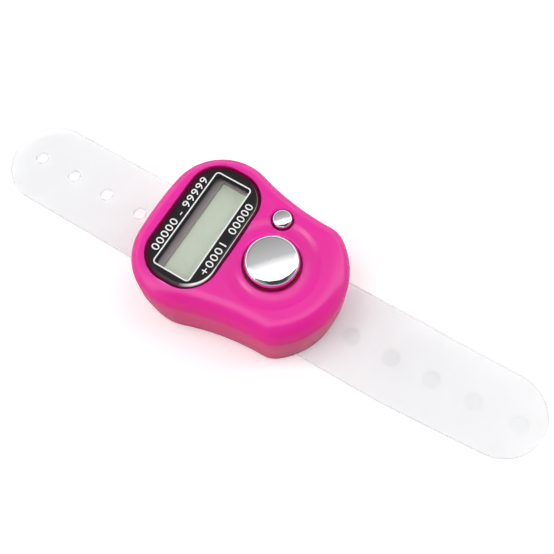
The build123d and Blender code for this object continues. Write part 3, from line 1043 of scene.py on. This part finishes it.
@dataclass
class DisplayWindow:
    """Lens over the display: its printed border and the plain figures on it."""

    window_centre: Place = (0.0, 8.12 * MM)
    window_half: Place = (9.68 * MM, 3.5 * MM)
    window_corner: float = 0.7 * MM
    line_width: float = 0.2 * MM
    lens_corner: float = 5.5 * MM
    # Painted highlight along the lens's lower edge.
    highlight_inset: float = 0.6 * MM
    highlight_width: Span = (0.27 * MM, 0.045 * MM)
    ink_depth: float = 0.012 * MM
    ink_spread: float = 0.004
    figure_spacing: float = 1.12
    figure_weld: float = 1e-5
    markings: tuple[Marking, ...] = (
        Marking("range_figures", "00000 - 99999", (-0.1 * MM, 12.6 * MM), 15.2 * MM),
        Marking("count_figures", "+0001", (-4.2 * MM, 3.42 * MM), 6.1 * MM),
        Marking("reset_figures", "00000", (4.1 * MM, 3.42 * MM), 6.1 * MM),
    )

    def build(self, nodes: dict[str, bpy.types.Object]) -> None:
        """Dresses the lens and prints its figures.

        Args:
            nodes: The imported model's nodes by name.
        """
        low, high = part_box("display_lens")
        finish = PrintedWindow(
            name="printed_window",
            window_centre=self.window_centre,
            window_half=self.window_half,
            window_corner=self.window_corner,
            line_width=self.line_width,
            lens_centre=((low[0] + high[0]) / 2, (low[1] + high[1]) / 2),
            lens_half=((high[0] - low[0]) / 2, (high[1] - low[1]) / 2),
            lens_corner=self.lens_corner,
            highlight_inset=self.highlight_inset,
            highlight_width=self.highlight_width,
            print_from=(low[2] + high[2]) / 2,
        )
        dress(nodes["display_lens"], finish.build())
        ink = WHITE_INK.build()
        for marking in self.markings:
            add_piece(marking.name, self.figures(marking, high[2]), ink, Body.HOUSING)

    def figures(self, marking: Marking, height: float) -> bpy.types.Mesh:
        """Makes a row of figures, flat on the lens.

        Args:
            marking: What it reads, and where.
            height: Height of the lens's face.

        Returns:
            The row's mesh, in place.
        """
        text = bpy.data.curves.new(marking.name, "FONT")
        text.body = marking.figures
        text.offset = self.ink_spread
        text.space_character = self.figure_spacing
        text.extrude = 1.0
        holder = bpy.data.objects.new(marking.name + "_text", text)
        bpy.context.scene.collection.objects.link(holder)
        bpy.context.view_layer.update()
        graph = bpy.context.evaluated_depsgraph_get()
        row = bmesh.new()
        row.from_mesh(bpy.data.meshes.new_from_object(holder.evaluated_get(graph)))
        bpy.data.objects.remove(holder)
        bmesh.ops.remove_doubles(row, verts=row.verts, dist=self.figure_weld)
        bmesh.ops.recalc_face_normals(row, faces=row.faces)
        across = [vert.co.x for vert in row.verts]
        up = [vert.co.y for vert in row.verts]
        middle = Vector(((min(across) + max(across)) / 2, (min(up) + max(up)) / 2, 0))
        widen = marking.width / (max(across) - min(across))
        heighten = marking.height / (max(up) - min(up))
        bmesh.ops.translate(row, verts=row.verts, vec=-middle)
        bmesh.ops.scale(row, verts=row.verts, vec=(widen, heighten, self.ink_depth))
        bmesh.ops.translate(row, verts=row.verts, vec=(*marking.centre, height))
        return to_mesh(marking.name, row)


def dress(node: bpy.types.Object, material: bpy.types.Material) -> None:
    """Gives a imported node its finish.

    Args:
        node: The node's object.
        material: Its finish.
    """
    if not node.material_slots:
        node.data.materials.append(material)
    for slot in node.material_slots:
        slot.material = material
    log.info("node %s wears %s", node.name, material.name)


@dataclass
class Studio:
    """White floor, soft overhead tent and the camera that took the portrait."""

    floor_half: float = 2.0
    floor_cells: int = 4
    camera_place: Point = (-34.46 * MM, -26.86 * MM, 113.20 * MM)
    camera_target: Point = (2.824 * MM, -4.331 * MM, 0.0)
    lens: float = 43.765
    sensor: float = 36.0
    away: Point = (0.654, 0.756, 0.0)
    ceiling: float = 2.75
    ceiling_end: Span = (-0.1, 0.37)
    wall_span: Span = (0.36, 0.8)
    wall: Span = (0.6, 0.3)
    front_end: Span = (-0.3, -0.18)
    front_sides: Span = (0.4, 0.6)
    front: Span = (0.06, 0.25)
    horizon_span: Span = (-0.6, 0.1)
    horizon: Span = (0.6, 1.9)
    horizon_top: float = 0.28
    key_way: Point = (-0.1, 0.33, 0.94)
    key_distance: float = 0.6
    key_size: float = 0.125
    key_watts: float = 0.31

    def build(self) -> None:
        """Makes the floor, the light and the camera."""
        self.floor()
        self.tent()
        self.key_light()
        self.camera()
        bpy.context.scene.view_settings.view_transform = "Standard"

    def floor(self) -> None:
        """Lays the floor under the counter."""
        mesh = bmesh.new()
        cells = self.floor_cells
        bmesh.ops.create_grid(mesh, x_segments=cells, y_segments=cells, size=self.floor_half)
        floor = bpy.data.objects.new("floor", to_mesh("floor", mesh))
        floor.data.materials.append(FloorPaint().build())
        bpy.context.scene.collection.objects.link(floor)

    def tent(self) -> None:
        """Hangs a soft tent: bright overhead and at the horizon, grey behind the counter, dark in front."""
        world = bpy.data.worlds.new("tent")
        world.use_nodes = True
        bpy.context.scene.world = world
        graph = Graph(world.node_tree)
        way = graph.node("ShaderNodeTexCoord").outputs["Generated"]
        height = graph.node("ShaderNodeSeparateXYZ", {0: way}).outputs[2]
        far = graph.along(way, self.away)
        wall = graph.spread(far, self.wall_span, self.wall)
        upper = graph.between(graph.spread(far, self.ceiling_end, (0.0, 1.0)), self.ceiling, wall)
        aside = graph.along(way, Vector(self.away).cross(Vector((0, 0, 1))))
        front = graph.spread(graph.math("ABSOLUTE", aside), self.front_sides, self.front)
        upper = graph.between(graph.spread(far, self.front_end, (1.0, 0.0)), upper, front)
        low = graph.spread(height, (0.0, self.horizon_top), (1.0, 0.0))
        horizon = graph.spread(far, self.horizon_span, self.horizon)
        strength = graph.between(low, upper, horizon)
        light = graph.node("ShaderNodeBackground", {"Color": WHITE, "Strength": strength})
        graph.node("ShaderNodeOutputWorld", {"Surface": light.outputs[0]})

    def key_light(self) -> None:
        """Hangs the round soft light over the counter."""
        data = bpy.data.lights.new("key", "AREA")
        data.shape = "DISK"
        data.size = self.key_size
        data.energy = self.key_watts
        key = bpy.data.objects.new("key", data)
        bpy.context.scene.collection.objects.link(key)
        way = Vector(self.key_way).normalized()
        key.location = way * self.key_distance
        key.rotation_mode = "QUATERNION"
        key.rotation_quaternion = (-way).to_track_quat("-Z", "Y")

    def camera(self) -> None:
        """Sets the camera where the portrait was taken from."""
        data = bpy.data.cameras.new("portrait")
        data.lens = self.lens
        data.sensor_width = self.sensor
        data.clip_start = MM
        camera = bpy.data.objects.new("portrait", data)
        bpy.context.scene.collection.objects.link(camera)
        place, target = Vector(self.camera_place), Vector(self.camera_target)
        camera.location = place
        camera.rotation_mode = "QUATERNION"
        camera.rotation_quaternion = (target - place).to_track_quat("-Z", "Y")
        bpy.context.scene.camera = camera


def main() -> None:
    """Builds every part of the scene in order."""
    logging.basicConfig(level=logging.INFO, format="%(message)s")
    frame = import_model()
    nodes = frame["nodes"]
    for finish, names in NODE_FINISHES.items():
        material = finish.build()
        for name in names:
            dress(nodes[name], material)
    DisplayWindow().build(nodes)
    Strap().build()
    Studio().build()


if __name__ == "__main__":
    main()
